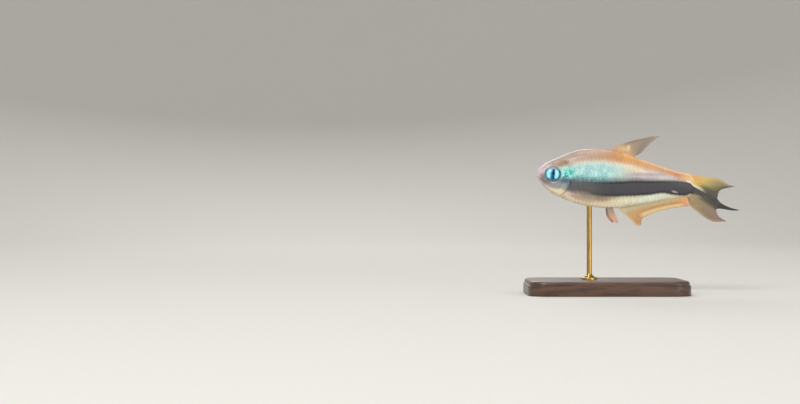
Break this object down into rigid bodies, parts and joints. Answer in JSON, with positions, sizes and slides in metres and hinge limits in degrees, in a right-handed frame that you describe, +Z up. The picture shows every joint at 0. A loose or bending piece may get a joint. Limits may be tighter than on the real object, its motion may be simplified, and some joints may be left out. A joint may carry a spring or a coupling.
{
  "type": "emperor tetra",
  "caption": "Life-size model of a male emperor tetra swimming nose-up, with sickle dorsal fin, three-pointed tail and long anal fin, on a rod and plate stand.",
  "frame": {"origin": "middle of the underside of the stand's base", "axes": "+Z up, +X towards the tail, the fish's left side faces -Y; the fish is pitched nose-up by 5.45 degrees about Y"},
  "size_m": [0.0593, 0.025, 0.0434],
  "materials": {
    "fish_skin": "scaled skin, dark flank band, turquoise sheen",
    "gill_cover": "smooth iridescent turquoise skin",
    "eye": "clear glossy eye with a blue iris",
    "fin": "thin translucent fin membrane on soft rays",
    "dark_fin": "thin blackish fin membrane on soft rays",
    "clear_fin": "thin clear fin membrane on soft rays",
    "stand_wood": "dark satin-varnished hardwood",
    "stand_brass": "brushed brass rod"
  },
  "bodies": {
    "root": {"head": "fish_skin", "torso": "fish_skin", "tail_stalk": "fish_skin", "gill_cover_left": "gill_cover", "gill_cover_right": "gill_cover", "eye_left": "eye", "eye_right": "eye", "dorsal_fin": "fin", "anal_fin": "fin", "tail_fin_upper": "fin", "tail_fin_middle": "dark_fin", "tail_fin_lower": "fin", "pelvic_fin_left": "fin", "pelvic_fin_right": "fin", "pectoral_fin_left": "clear_fin", "pectoral_fin_right": "clear_fin", "stand_base": "stand_wood", "stand_rod": "stand_brass"}
  },
  "joints": []
}
